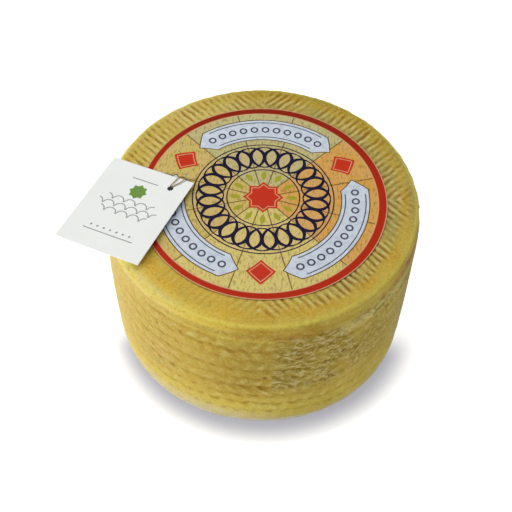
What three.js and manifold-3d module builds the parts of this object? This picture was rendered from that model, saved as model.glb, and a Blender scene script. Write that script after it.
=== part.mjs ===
// A whole wheel of aged pressed sheep cheese with a moulded rind. A round paper label lies on its top face.
// A paper hang tag on a loop of thread lies on the label and reaches out over the rim.
// Millimetres, +Z up, with the origin at the centre of the wheel's underside.
import * as THREE from 'three';
import { NURBSCurve } from 'three/addons/curves/NURBSCurve.js';
import { mergeVertices } from 'three/addons/utils/BufferGeometryUtils.js';
import Module from 'manifold-3d';

const wasm = await Module();
wasm.setup();

// Wheel
const WHEEL_HEIGHT = 112.5;
const SHOULDER_LINE_RADIUS = 97;
const MIDDLE_RADIUS = 98;
const FOOT_LINE_RADIUS = 96.6;
const SHOULDER_ROUND = 8;
const FOOT_ROUND = 6;
const SHOULDER_STEPS = 4;
const FOOT_STEPS = 3;

// Plaited rows that the mat in the mould presses into the side, in pairs between deep seams
const ROW_COUNT = 9;
const ROW_HEIGHT = 10;
const LOWEST_SEAM_HEIGHT = 6.5;
const PLAITS_PER_ROW = 61;
const FACETS_PER_PLAIT = 2;
const SEAM_DEPTH = 0.9;
const FOLD_DEPTH = 0.55;
const PLAIT_SWELL = 0.35;
const PLAIT_HOLLOW = 0.3;
const PLAIT_SLANT = 0.5;

// Ridges that the boards press into both faces, in four fields that meet along a cross
const RIDGE_PITCH = 4.1;
const GROOVE_WIDTH = 2.9;
const GROOVE_DEPTH = 0.8;
const FIELD_GAP = 0.9;
const TOP_RIDGES_FROM = 70;
const FOOT_RIDGES_FROM = 62;
const FIELD_ARC_STEPS = 6;
const FIELD_TURN = THREE.MathUtils.degToRad(0.5);

// Paper label
const LABEL_RADIUS = 76.5;
const LABEL_THICKNESS = 0.35;
const LABEL_FACETS = 64;
const LABEL_CENTRE = new THREE.Vector2(0.4, -1.1);

// Hang tag, highest on its right, where the thread's knot is under it
const TAG_WIDTH = 57;
const TAG_HEIGHT = 70;
const TAG_THICKNESS = 0.5;
const TAG_CENTRE = new THREE.Vector2(-82.8, -15.2);
const TAG_YAW = THREE.MathUtils.degToRad(-24);
const TAG_TILT = THREE.MathUtils.degToRad(4.5);
const TAG_TOUCH = -17;
const TAG_HOLE_RADIUS = 1.9;
const TAG_HOLE = new THREE.Vector2(17.1, 25.3);
const TAG_HOLE_FACETS = 20;

// Thread loop: through the hole, over the tag's top edge, and back under it to one knot
const THREAD_DIAMETER = 0.8;
const THREAD_SIDES = 8;
const THREAD_STEPS = 62;
const KNOT_RADIUS = 1.1;
const KNOT_HALF_HEIGHT = 0.95;
const KNOT_CENTRE = new THREE.Vector3(22.1, 12.1, -1.6);
const KNOT_SIDES = 10;
const KNOT_RINGS = 6;

// Control points of the thread's smooth line, in the tag's own frame: X to its right edge, Y to its top edge
// and Z up from its middle. It is 94 mm long, and no bend is tighter than two of its diameters.
const THREAD_ROUTE = [
  [20.9, 13.0, -1.5],
  [18.9, 15.3, -1.5],
  [17.3, 18.0, -1.6],
  [16.6, 20.9, -1.7],
  [16.5, 23.2, -1.8],
  [16.5, 24.6, -1.4],
  [16.5, 25.3, -0.4],
  [16.5, 26.0, 0.6],
  [16.6, 27.5, 1.0],
  [17.0, 30.0, 1.0],
  [17.5, 32.8, 1.1],
  [17.9, 35.2, 1.0],
  [18.5, 37.0, 0.1],
  [19.6, 38.0, -1.0],
  [21.2, 38.4, -1.9],
  [23.0, 38.2, -2.2],
  [24.9, 37.4, -2.4],
  [26.1, 35.7, -2.5],
  [26.4, 33.1, -2.5],
  [26.5, 29.5, -2.5],
  [26.5, 25.5, -2.5],
  [26.4, 22.5, -2.5],
  [24.5, 21.4, -2.4],
  [22.6, 22.5, -2.2],
  [22.5, 25.5, -2.2],
  [22.6, 29.5, -2.2],
  [22.8, 33.1, -2.4],
  [22.9, 35.6, -2.3],
  [22.9, 36.6, -0.6],
  [22.7, 35.8, 1.2],
  [22.2, 33.6, 1.5],
  [20.6, 30.7, 1.1],
  [18.9, 28.4, 1.0],
  [17.9, 26.8, 0.9],
  [17.6, 25.8, 0.4],
  [17.6, 25.2, -0.6],
  [17.5, 24.3, -1.6],
  [17.6, 22.2, -1.8],
  [18.8, 18.2, -1.6],
  [21.7, 13.7, -1.5],
];
const SPLINE_DEGREE = 3;

// Smallest gap between pieces that touch in the real object
const GAP = 0.3;

const rindMaterial = new THREE.MeshStandardMaterial({ color: '#c9ab55', roughness: 0.5, metalness: 0 });
const labelMaterial = new THREE.MeshStandardMaterial({ color: '#d8bb62', roughness: 0.55, metalness: 0 });
const tagMaterial = new THREE.MeshStandardMaterial({ color: '#f1f2ee', roughness: 0.6, metalness: 0 });
const threadMaterial = new THREE.MeshStandardMaterial({ color: '#cdbf98', roughness: 0.8, metalness: 0 });

function mesh(name, geometry, material) {
  const piece = new THREE.Mesh(geometry, material);
  piece.name = name;
  return piece;
}

// A closed three.js geometry as a solid that can be joined and cut
function solidFrom(geometry) {
  const bare = geometry.clone();
  bare.deleteAttribute('normal');
  bare.deleteAttribute('uv');
  const merged = mergeVertices(bare, 1e-4);
  return new wasm.Manifold(new wasm.Mesh({
    numProp: 3,
    vertProperties: new Float32Array(merged.attributes.position.array),
    triVerts: new Uint32Array(merged.index.array),
  }));
}

function geometryFrom(solid) {
  const data = solid.getMesh();
  const geometry = new THREE.BufferGeometry();
  geometry.setAttribute('position', new THREE.BufferAttribute(new Float32Array(data.vertProperties), 3));
  geometry.setIndex(new THREE.BufferAttribute(new Uint32Array(data.triVerts), 1));
  geometry.computeVertexNormals();
  return geometry;
}

// The side stands out in a shallow curve through the shoulder line, the middle and the foot line.
function sideRadius(height) {
  const share = height / WHEEL_HEIGHT;
  const straight = FOOT_LINE_RADIUS + (SHOULDER_LINE_RADIUS - FOOT_LINE_RADIUS) * share;
  const swell = MIDDLE_RADIUS - (SHOULDER_LINE_RADIUS + FOOT_LINE_RADIUS) / 2;
  return straight + swell * 4 * share * (1 - share);
}

// The rings of the wheel from the underside's centre to the top's. Each ring has its radius and height,
// how far its vertices swell and sink in turn, and how far it is turned, in plaits.
function wheelRings() {
  const rings = [{ radius: 0, height: 0 }];
  for (let step = 0; step < FOOT_STEPS; step += 1) {
    const angle = (Math.PI / 2) * (step / FOOT_STEPS);
    const height = FOOT_ROUND * (1 - Math.cos(angle));
    rings.push({ radius: sideRadius(height) - FOOT_ROUND * (1 - Math.sin(angle)), height });
  }
  for (let seam = 0; seam <= ROW_COUNT; seam += 1) {
    const height = LOWEST_SEAM_HEIGHT + seam * ROW_HEIGHT;
    const depth = seam % 2 === 1 ? SEAM_DEPTH : FOLD_DEPTH;
    rings.push({ radius: sideRadius(height) - depth, height });
    if (seam < ROW_COUNT) {
      const middle = height + ROW_HEIGHT / 2;
      const turn = seam % 2 === 1 ? PLAIT_SLANT : 0;
      rings.push({ radius: sideRadius(middle), height: middle, swell: PLAIT_SWELL, hollow: PLAIT_HOLLOW, turn });
    }
  }
  for (let step = 0; step <= SHOULDER_STEPS; step += 1) {
    const angle = (Math.PI / 2) * (step / SHOULDER_STEPS);
    const height = WHEEL_HEIGHT - SHOULDER_ROUND * (1 - Math.sin(angle));
    rings.push({ radius: sideRadius(height) - SHOULDER_ROUND * (1 - Math.cos(angle)), height });
  }
  rings.push({ radius: 0, height: WHEEL_HEIGHT });
  return rings;
}

// The wheel with its plaited side: a turned profile whose row rings swell and sink from plait to plait.
function plaitedWheel() {
  const rings = wheelRings();
  const facets = PLAITS_PER_ROW * FACETS_PER_PLAIT;
  const outline = rings.map((ring) => new THREE.Vector2(ring.radius, ring.height));
  const geometry = new THREE.LatheGeometry(outline, facets);
  geometry.rotateX(Math.PI / 2);
  const position = geometry.attributes.position;
  const plaitAngle = (2 * Math.PI) / PLAITS_PER_ROW;
  for (let index = 0; index < position.count; index += 1) {
    const ring = rings[index % rings.length];
    const column = Math.floor(index / rings.length) % facets;
    const change = column % FACETS_PER_PLAIT === 0 ? ring.swell ?? 0 : -(ring.hollow ?? 0);
    const angle = (2 * Math.PI * column) / facets + (ring.turn ?? 0) * plaitAngle;
    const radius = ring.radius + (ring.radius > 0 ? change : 0);
    position.setXYZ(index, radius * Math.cos(angle), radius * Math.sin(angle), ring.height);
  }
  return solidFrom(geometry);
}

// A comb of V-shaped teeth along +X. The teeth reach down to the grooves' depth below height zero, and the
// flat crests of the ridges are left between them.
function ridgeComb() {
  const reach = SHOULDER_LINE_RADIUS;
  const gapHeight = GROOVE_DEPTH * (RIDGE_PITCH / GROOVE_WIDTH - 1);
  const backHeight = 2 * GROOVE_DEPTH;
  const outermost = Math.floor(reach * Math.SQRT1_2 / RIDGE_PITCH);
  const outline = new THREE.Shape();
  outline.moveTo(-reach, backHeight);
  outline.lineTo(-reach, gapHeight);
  for (let tooth = -outermost; tooth <= outermost; tooth += 1) {
    outline.lineTo((tooth - 0.5) * RIDGE_PITCH, gapHeight);
    outline.lineTo(tooth * RIDGE_PITCH, -GROOVE_DEPTH);
  }
  outline.lineTo((outermost + 0.5) * RIDGE_PITCH, gapHeight);
  outline.lineTo(reach, gapHeight);
  outline.lineTo(reach, backHeight);
  outline.closePath();
  const geometry = new THREE.ExtrudeGeometry(outline, { depth: reach, bevelEnabled: false });
  geometry.rotateX(Math.PI / 2);
  geometry.rotateZ(Math.PI / 2);
  return solidFrom(geometry);
}

// A quarter ring about +X, kept clear of the cross between the fields.
function fieldBlock(from) {
  const to = SHOULDER_LINE_RADIUS + RIDGE_PITCH;
  const outline = new THREE.Shape();
  const innerTurn = Math.PI / 4 - FIELD_GAP / 2 / from;
  const outerTurn = Math.PI / 4 - FIELD_GAP / 2 / to;
  outline.absarc(0, 0, to, -outerTurn, outerTurn, false);
  outline.absarc(0, 0, from, innerTurn, -innerTurn, true);
  outline.closePath();
  const depth = 4 * GROOVE_DEPTH;
  const geometry = new THREE.ExtrudeGeometry(outline, { depth, bevelEnabled: false, curveSegments: FIELD_ARC_STEPS });
  geometry.translate(0, 0, -depth / 2);
  return solidFrom(geometry);
}

// The grooves of all four fields, cut down from height zero
function grooves(from) {
  const field = ridgeComb().intersect(fieldBlock(from));
  const bisectors = [45, 135, 225, 315];
  return bisectors.map((angle) => field.rotate([0, 0, angle + THREE.MathUtils.radToDeg(FIELD_TURN)]));
}

function cheeseWheel() {
  let wheel = plaitedWheel();
  for (const field of grooves(TOP_RIDGES_FROM)) {
    wheel = wheel.subtract(field.translate([0, 0, WHEEL_HEIGHT]));
  }
  for (const field of grooves(FOOT_RIDGES_FROM)) {
    wheel = wheel.subtract(field.rotate([180, 0, 0]));
  }
  return mesh('cheese_wheel', geometryFrom(wheel), rindMaterial);
}

function paperLabel() {
  const geometry = new THREE.CylinderGeometry(LABEL_RADIUS, LABEL_RADIUS, LABEL_THICKNESS, LABEL_FACETS);
  geometry.rotateX(Math.PI / 2);
  const label = mesh('paper_label', geometry, labelMaterial);
  label.position.set(LABEL_CENTRE.x, LABEL_CENTRE.y, WHEEL_HEIGHT + GAP + LABEL_THICKNESS / 2);
  return label;
}

function hangTag() {
  const outline = new THREE.Shape();
  outline.moveTo(-TAG_WIDTH / 2, -TAG_HEIGHT / 2);
  outline.lineTo(TAG_WIDTH / 2, -TAG_HEIGHT / 2);
  outline.lineTo(TAG_WIDTH / 2, TAG_HEIGHT / 2);
  outline.lineTo(-TAG_WIDTH / 2, TAG_HEIGHT / 2);
  outline.closePath();
  const hole = new THREE.Path();
  hole.absarc(TAG_HOLE.x, TAG_HOLE.y, TAG_HOLE_RADIUS, 0, 2 * Math.PI, true);
  outline.holes.push(hole);
  const options = { depth: TAG_THICKNESS, bevelEnabled: false, curveSegments: TAG_HOLE_FACETS / 2 };
  const geometry = new THREE.ExtrudeGeometry(outline, options);
  geometry.translate(0, 0, -TAG_THICKNESS / 2);
  return mesh('hang_tag', geometry, tagMaterial);
}

// A clamped cubic spline with evenly spaced knots over the route's control points
function threadLine() {
  const spans = THREAD_ROUTE.length - SPLINE_DEGREE;
  const knots = [];
  for (let knot = -SPLINE_DEGREE; knot <= spans + SPLINE_DEGREE; knot += 1) {
    knots.push(THREE.MathUtils.clamp(knot / spans, 0, 1));
  }
  return new NURBSCurve(SPLINE_DEGREE, knots, THREAD_ROUTE.map((point) => new THREE.Vector4(...point, 1)));
}

function tagThread() {
  const section = new THREE.Shape();
  for (let side = 0; side < THREAD_SIDES; side += 1) {
    const angle = (2 * Math.PI * side) / THREAD_SIDES;
    const point = [(THREAD_DIAMETER / 2) * Math.cos(angle), (THREAD_DIAMETER / 2) * Math.sin(angle)];
    if (side === 0) section.moveTo(...point);
    else section.lineTo(...point);
  }
  section.closePath();
  const geometry = new THREE.ExtrudeGeometry(section, { steps: THREAD_STEPS, extrudePath: threadLine() });
  return mesh('tag_thread', geometry, threadMaterial);
}

function threadKnot() {
  const geometry = new THREE.SphereGeometry(KNOT_RADIUS, KNOT_SIDES, KNOT_RINGS);
  geometry.rotateX(Math.PI / 2);
  geometry.scale(1, 1, KNOT_HALF_HEIGHT / KNOT_RADIUS);
  const knot = mesh('thread_knot', geometry, threadMaterial);
  knot.position.copy(KNOT_CENTRE);
  return knot;
}

// The tag, its thread and the knot share the tag's place: turned, and tilted up to the right from where
// its underside meets the rim's ridges.
function tagGroup() {
  const group = new THREE.Group();
  const rise = -TAG_TOUCH * Math.sin(TAG_TILT) + (TAG_THICKNESS / 2) * Math.cos(TAG_TILT);
  group.position.set(TAG_CENTRE.x, TAG_CENTRE.y, WHEEL_HEIGHT + GAP + rise);
  group.rotation.set(0, -TAG_TILT, TAG_YAW, 'ZYX');
  group.add(hangTag(), tagThread(), threadKnot());
  return group;
}

const cheese = new THREE.Group();
cheese.add(cheeseWheel(), paperLabel(), tagGroup());

export default cheese;
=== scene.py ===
"""Aged sheep cheese: a whole wheel with a moulded rind, a printed label and a hang tag on a loop of thread.

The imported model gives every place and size. Lengths in the scene are in metres, written as so many MM, and
the rind's relief and the print are in millimetres. The wheel's front faces -Y, and its top looks up +Z.
"""
import math
from functools import partial

import bmesh
import bpy
import numpy as np
from bpy.props import FloatProperty, FloatVectorProperty, PointerProperty
from mathutils import Matrix, Vector


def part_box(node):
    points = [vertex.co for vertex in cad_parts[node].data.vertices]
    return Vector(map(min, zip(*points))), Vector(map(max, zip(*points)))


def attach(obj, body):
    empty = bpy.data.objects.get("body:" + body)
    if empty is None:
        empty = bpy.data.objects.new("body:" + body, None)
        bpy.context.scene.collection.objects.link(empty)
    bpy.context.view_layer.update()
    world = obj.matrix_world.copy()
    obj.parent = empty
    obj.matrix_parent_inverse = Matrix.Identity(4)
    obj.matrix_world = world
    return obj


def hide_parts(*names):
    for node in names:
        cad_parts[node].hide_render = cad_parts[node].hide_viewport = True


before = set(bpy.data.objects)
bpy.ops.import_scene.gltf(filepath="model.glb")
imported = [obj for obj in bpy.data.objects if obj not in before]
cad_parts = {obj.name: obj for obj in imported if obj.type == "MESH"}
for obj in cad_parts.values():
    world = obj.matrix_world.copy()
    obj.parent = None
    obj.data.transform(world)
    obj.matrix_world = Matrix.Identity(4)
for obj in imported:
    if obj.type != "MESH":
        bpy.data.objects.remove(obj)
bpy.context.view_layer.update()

bl_info = {
    "name": "Aged Sheep Cheese",
    "version": (1, 0, 0),
    "blender": (4, 5, 0),
    "location": "3D View > Sidebar > Cheese",
    "description": "Builds the rind, the printed label, the hang tag and its thread around a packed cheese",
    "category": "Add Mesh",
}

MM = 0.001
TURN = 2 * math.pi

WHEEL_LOW, WHEEL_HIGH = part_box("cheese_wheel")
LABEL_LOW, LABEL_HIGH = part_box("paper_label")
TAG_LOW, TAG_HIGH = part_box("hang_tag")
KNOT_LOW, KNOT_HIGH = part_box("thread_knot")
LABEL_CENTRE = (LABEL_LOW + LABEL_HIGH) / 2
LABEL_RADIUS = (LABEL_HIGH.x - LABEL_LOW.x) / 2
TAG_CENTRE = (TAG_LOW + TAG_HIGH) / 2
KNOT_CENTRE = (KNOT_LOW + KNOT_HIGH) / 2

# The wheel's own lines in millimetres, all close to the model's
WHEEL_HEIGHT = WHEEL_HIGH.z / MM
WHEEL_REACH = WHEEL_HIGH.x / MM
SHOULDER_LINE_RADIUS = 97.2
MIDDLE_RADIUS = 98.0
FOOT_LINE_RADIUS = 96.6
SHOULDER_ROUND = 4.5
FOOT_ROUND = 4.0
ROW_COUNT = 9
ROW_HEIGHT = 10.3
LOWEST_SEAM_HEIGHT = 4.8
PLAITS_PER_ROW = 61
RIDGE_PITCH = 4.1
FIELD_TURN = math.radians(0.5)
TOP_RIDGES_FROM = 70
FOOT_RIDGES_FROM = 62
PIT_COUNT = 90

# Dark specks in the side: degrees round the wheel from its back, then height and width in millimetres
SIDE_SPECKS = ((182.9, 58.5, 3.0), (141.5, 83.4, 2.4), (211.5, 71.3, 2.4))

# The tag's place, the same as in the model
TAG_YAW = math.radians(-24)
TAG_TILT = math.radians(4.5)
TAG_WIDTH = 57 * MM
TAG_HEIGHT = 70 * MM
TAG_HOLE_RADIUS = 1.9 * MM
TAG_HOLE = Vector((17.1 * MM, 25.3 * MM))
TAG_TURN = Matrix.Rotation(TAG_YAW, 4, "Z") @ Matrix.Rotation(-TAG_TILT, 4, "Y")
TAG_PLACE = Matrix.Translation(TAG_CENTRE) @ TAG_TURN

# The thread's route in the tag's own frame: from the knot under the card, up through the
# hole, over the top edge to a bight on the label, back over the edge and through the hole to the knot
THREAD_ROUTE = [
    (0.0209, 0.0130, -0.0015), (0.0189, 0.0153, -0.0015), (0.0173, 0.0180, -0.0016),
    (0.0166, 0.0209, -0.0017), (0.0165, 0.0232, -0.0018), (0.0165, 0.0246, -0.0014),
    (0.0165, 0.0253, -0.0004), (0.0165, 0.0260, 0.0006), (0.0166, 0.0275, 0.0010),
    (0.0170, 0.0300, 0.0010), (0.0175, 0.0328, 0.0011), (0.0179, 0.0352, 0.0010),
    (0.0185, 0.0370, 0.0001), (0.0196, 0.0380, -0.0010), (0.0212, 0.0384, -0.0019),
    (0.0230, 0.0382, -0.0022), (0.0249, 0.0374, -0.0024), (0.0261, 0.0357, -0.0025),
    (0.0264, 0.0331, -0.0025), (0.0265, 0.0295, -0.0025), (0.0265, 0.0255, -0.0025),
    (0.0264, 0.0225, -0.0025), (0.0245, 0.0214, -0.0024), (0.0226, 0.0225, -0.0022),
    (0.0225, 0.0255, -0.0022), (0.0226, 0.0295, -0.0022), (0.0228, 0.0331, -0.0024),
    (0.0229, 0.0356, -0.0023), (0.0229, 0.0366, -0.0006), (0.0227, 0.0358, 0.0012),
    (0.0222, 0.0336, 0.0015), (0.0206, 0.0307, 0.0011), (0.0189, 0.0284, 0.0010),
    (0.0179, 0.0268, 0.0009), (0.0176, 0.0258, 0.0004), (0.0176, 0.0252, -0.0006),
    (0.0175, 0.0243, -0.0016), (0.0176, 0.0222, -0.0018), (0.0188, 0.0182, -0.0016),
    (0.0217, 0.0137, -0.0015),
]


def linear(colour):
    """An sRGB hex colour as the linear red, green, blue and alpha that a shader takes."""
    channels = [int(colour[start:start + 2], 16) / 255 for start in (1, 3, 5)]
    return tuple(c / 12.92 if c <= 0.04045 else ((c + 0.055) / 1.055) ** 2.4 for c in channels) + (1.0,)


def length_setting(name, description, default):
    return FloatProperty(
        name=name, description=description, default=default, min=0, unit="LENGTH", subtype="DISTANCE"
    )


def angle_setting(name, description, degrees):
    return FloatProperty(name=name, description=description, default=math.radians(degrees), subtype="ANGLE")


def power_setting(name, description, watts):
    return FloatProperty(name=name, description=description, default=watts, min=0, unit="POWER")


def colour_setting(name, description, default):
    return FloatVectorProperty(
        name=name, description=description, default=linear(default), size=4, min=0, max=1, subtype="COLOR"
    )


class RindSettings(bpy.types.PropertyGroup):
    """Sizes and colours of the wheel and its rind"""

    seam_depth: length_setting("Seam depth", "Depth of the seams between pairs of plaited rows", 0.95 * MM)
    fold_depth: length_setting("Fold depth", "Depth of the fold in the middle of each pair of rows", 0.6 * MM)
    plait_depth: length_setting("Plait depth", "How far a plait stands out from its hollows", 0.38 * MM)
    strand_depth: length_setting("Strand depth", "How far each strand of a plait stands out", 0.13 * MM)
    ridge_depth: length_setting("Ridge depth", "Depth of the grooves in the top and bottom faces", 0.55 * MM)
    straw: colour_setting("Straw", "Main colour of the rind", "#ceb54f")
    amber: colour_setting("Amber", "Oiled golden rind", "#d0a332")
    gold: colour_setting("Gold", "Oiled golden rind of the top at the left", "#e8bc42")
    # Lemon is partly the rind's own yellow and partly painted light: the highlight along the shoulder, and
    # paler rind low on the side and at the top's left edge
    lemon: colour_setting("Lemon", "Smooth clear yellow rind along the top's edge", "#ead862")
    olive: colour_setting("Olive", "Greenish khaki rind of the top at the back and the right", "#a89c58")
    dull: colour_setting("Dull", "Darker rind of the side at the right and of the rim at the back", "#a88f10")
    # Painted shade: a darker straw across the upper front of the side
    tawny: colour_setting("Tawny", "Darker straw of the side at the front", "#ab9236")
    blush: colour_setting("Blush", "Warm pale blotches", "#dcb668")
    # Cream is also painted light: the highlights on the plaits' tops, and pale rind at the foot, the left
    # edge and the shoulder
    cream: colour_setting("Cream", "Rubbed pale rind and dry crests", "#e6d88c")
    # Partly painted shade under the shoulder
    brown: colour_setting("Brown", "Amber-brown rind under the shoulder", "#a87c1a")
    # Also paints the shade in the seams, grooves and dents
    hollow: colour_setting("Hollow", "Rind in the bottom of grooves and seams", "#94680e")
    crust: colour_setting("Crust", "Dry whitish fibres of the crumbly patch", "#d8cc9a")
    # Painted light: the pale foot stands for light from the floor
    foot_light_ink: colour_setting("Chalk", "Pale worn rind round the foot", "#f2ead0")
    speck: colour_setting("Speck", "Small dark specks in the side", "#4a3a18")
    # Gap also paints the shade on the far right of the side
    gap: colour_setting("Gap", "Dull rind between the dry fibres and at the far right", "#8a7730")


class LabelSettings(bpy.types.PropertyGroup):
    """Sizes and inks of the paper label"""

    thickness: length_setting("Thickness", "Thickness of the label's paper", 0.2 * MM)
    paper: colour_setting("Paper", "Unprinted paper and pale printed lines", "#e3b98a")
    red: colour_setting("Red", "Ring", "#bb2800")
    # Painted shade: the ring's colour where it is darkened towards the back
    ring_shade_ink: colour_setting("Rust", "Ring where age has darkened it", "#5a1a00")
    scarlet: colour_setting("Scarlet", "Star and lozenges", "#cf3417")
    navy: colour_setting("Navy", "Interlaced rings, rules and beads", "#151033")
    silver: colour_setting("Silver", "Grey panels", "#dbe4ee")
    cloud: colour_setting("Cloud", "Darker clouds in the grey panels", "#9fb0c6")
    tan: colour_setting("Tan", "Parchment rays at the left", "#d8c068")
    lime: colour_setting("Lime", "Parchment rays at the back", "#cac385")
    yellow: colour_setting("Yellow", "Parchment rays at the front", "#e4d278")
    orange: colour_setting("Orange", "Parchment rays at the right", "#e6ab4e")
    leaf: colour_setting("Leaf", "Gold-green leaves", "#a8a623")
    line: colour_setting("Line", "Lines between the rays and round the panels", "#6b4a1e")


class TagSettings(bpy.types.PropertyGroup):
    """Sizes and inks of the hang tag"""

    thickness: length_setting("Thickness", "Thickness of the card", 0.4 * MM)
    curl: length_setting("Curl", "How far the card's free corner bends up", 0.9 * MM)
    card: colour_setting("Card", "White card", "#fdfffb")
    grey: colour_setting("Grey", "Printed lines", "#6d7a72")
    green: colour_setting("Green", "Printed star", "#6d9636")


class ThreadSettings(bpy.types.PropertyGroup):
    """Sizes and colours of the thread"""

    diameter: length_setting("Diameter", "Diameter of the whole twisted thread", 0.8 * MM)
    twist: length_setting("Twist", "Length of one full turn of the two plies", 2.4 * MM)
    cotton: colour_setting("Cotton", "Undyed cotton", "#c4b487")
    hollow: colour_setting("Hollow", "Darker lengths between the fibres", "#8a7442")
    # Painted shade of the thread inside the punched hole
    hole_shade_ink: colour_setting("Grime", "Grime where the thread rubs in the hole", "#2a2418")


class StageSettings(bpy.types.PropertyGroup):
    """The camera, the lights and the floor"""

    distance: length_setting("Camera distance", "From the camera to the wheel's middle", 680 * MM)
    elevation: angle_setting("Camera elevation", "Height of the camera above the horizon", 52.912)
    roll: angle_setting("Camera roll", "Turn of the camera about its line of sight", 1.893)
    lens: FloatProperty(name="Lens", description="Focal length", default=72.38, unit="CAMERA")
    aim_height: length_setting("Aim height", "Height that the camera looks at", 56.37 * MM)
    floor_size: length_setting("Floor size", "Width of the floor", 60.0)
    key_power: power_setting("Key light", "Power of the large soft light at the left", 8.5)
    back_power: power_setting("Back light", "Power of the soft light overhead", 9.5)
    surround: FloatProperty(name="Surround", description="Strength of the even surround", default=0.18, min=0)
    floor_glow: FloatProperty(name="Floor glow", description="Light from under it", default=0.85, min=0)
    # The floor's colours in full light and in the wheel's painted shadow
    sheet: colour_setting("Sheet", "Floor in full light", "#c9cacc")
    sheet_shade: colour_setting("Sheet in shade", "Floor in the wheel's shadow", "#74767f")
    glow: colour_setting("Glow", "Light through the floor", "#fefefe")
    glow_shade: colour_setting("Glow in shade", "Light through the floor in the wheel's shadow", "#aeadb4")


SETTINGS = {
    "cheese_rind": RindSettings,
    "cheese_label": LabelSettings,
    "cheese_tag": TagSettings,
    "cheese_thread": ThreadSettings,
    "cheese_stage": StageSettings,
}


# Meshes

def shown(name, data):
    """An object in the scene that shows the data."""
    made = bpy.data.objects.new(name, data)
    bpy.context.scene.collection.objects.link(made)
    return made


def mesh_of(name, bm):
    """The finished bmesh as a mesh of its own."""
    mesh = bpy.data.meshes.new(name)
    bm.to_mesh(mesh)
    bm.free()
    return mesh


def new_piece(name, bm, slot, *nodes):
    """A finished mesh as a piece that rides on the cheese and stands for the model's nodes."""
    piece = shown(name, mesh_of(name, bm))
    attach(piece, "root")
    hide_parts(*nodes)
    return piece


def vertex_values(mesh, wanted):
    """The mesh's vertex places or normals as one array of rows."""
    source = mesh.vertices if wanted == "co" else mesh.vertex_normals
    values = np.empty(len(source) * 3, np.float32)
    source.foreach_get(wanted, values)
    return values.reshape(-1, 3).astype(float)


def move_vertices(mesh, places):
    mesh.vertices.foreach_set("co", places.astype(np.float32).ravel())
    mesh.update()


def shade_smooth(mesh):
    mesh.polygons.foreach_set("use_smooth", np.ones(len(mesh.polygons), bool))


def store(mesh, name, values):
    """Keep one number for each vertex, for the material to read."""
    attribute = mesh.attributes.new(name, "FLOAT", "POINT")
    attribute.data.foreach_set("value", np.clip(values, 0, 1).astype(np.float32))


# Smooth fields over the rind, in millimetres and in degrees round the wheel

def eased(value, zero, one):
    """0 up to the first limit and 1 from the second on, eased between. Either limit may be the larger."""
    share = np.clip((value - zero) / (one - zero), 0, 1)
    return share * share * (3 - 2 * share)


def window(value, start, end, ease):
    """1 between start and end, easing to 0 outside them."""
    return eased(value, start - ease, start + ease) * eased(value, end + ease, end - ease)


def hump(value, middle, width):
    """1 at the middle, falling off smoothly on both sides."""
    return np.exp(-(((value - middle) / width) ** 2))


def waves(places, size, seed, count=24):
    """A smooth random field, mostly between -1 and 1, whose patches are about as wide as size."""
    draw = np.random.default_rng(seed)
    turns = draw.normal(size=(count, 3))
    turns *= (math.pi / size * draw.uniform(0.6, 1.5, count) / np.linalg.norm(turns, axis=1))[:, None]
    starts = draw.uniform(0, TURN, count)
    total = np.zeros(len(places))
    for turn, start in zip(turns, starts):
        total += np.cos(places @ turn + start)
    return total / math.sqrt(count)


class RindFields:
    """Where each vertex of the wheel lies: round the wheel from its back, up its side and along its faces."""

    def __init__(self, places):
        self.places = places
        self.x, self.y, self.height = places.T
        self.radius = np.hypot(self.x, self.y)
        self.angle = np.arctan2(self.y, self.x)
        # Degrees round the wheel from its back: the left is at 90, the front at 180 and the right at 270
        self.bearing = np.degrees(self.angle - math.pi / 2) % 360
        self.from_back = (self.bearing + 180) % 360 - 180
        self.outer = eased(self.radius, 88, 92)
        self.side = self.outer * eased(self.height, 2, 6) * eased(self.height, 101, 98)
        self.top = eased(self.height, 104, 108)
        self.bottom = eased(self.height, 3, 0.5)
        # Longer round the wheel than up it, as the mat smears the rind
        self.rough = waves(places * (1, 1, 1.5), 3.4, 16)
        # The rough dry patch to the right of the front: a sharp left border, and thinning out to the right
        patch = eased(self.bearing, 184.5, 186) * eased(self.bearing, 236, 206)
        patch += 0.55 * eased(self.bearing, 198, 222) * eased(self.bearing, 305, 252)
        patch *= self.level(42, 98, 6) * self.outer
        patch += 0.75 * self.arc(192, 246, 8) * hump(self.height, 95, 6) * self.outer
        self.patch = patch * self.varied(14, 31, 0.85, 0.5)
        self.crumbs = self.varied(2.8, 54, 0.5, 0.75)

    def arc(self, start, end, ease):
        """1 between two bearings."""
        return window(self.bearing, start, end, ease)

    def level(self, low, high, ease):
        """1 between two heights."""
        return window(self.height, low, high, ease)

    def waves(self, size, seed):
        return waves(self.places, size, seed)

    def varied(self, size, seed, middle, swing, low=0, high=1):
        """A random field about its middle value, kept between low and high."""
        return np.clip(middle + swing * self.waves(size, seed), low, high)

    def rough_share(self, middle, swing, low, high):
        """The fine roughness about its middle value, kept between low and high."""
        return np.clip(middle + swing * self.rough, low, high)


def plait_strength(fields):
    """How deeply the plaits are pressed: clear at the upper front, shallow at the foot, faint at the left."""
    strength = np.clip(0.9 + 0.25 * fields.waves(34, 14) + 0.2 * fields.waves(9, 15), 0.25, 1.4)
    strength *= 0.65 + 0.35 * eased(fields.height, 20, 50)
    return strength * (1 - 0.85 * fields.arc(60, 140, 20)) * (1 - 0.6 * fields.arc(212, 290, 15))


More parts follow.
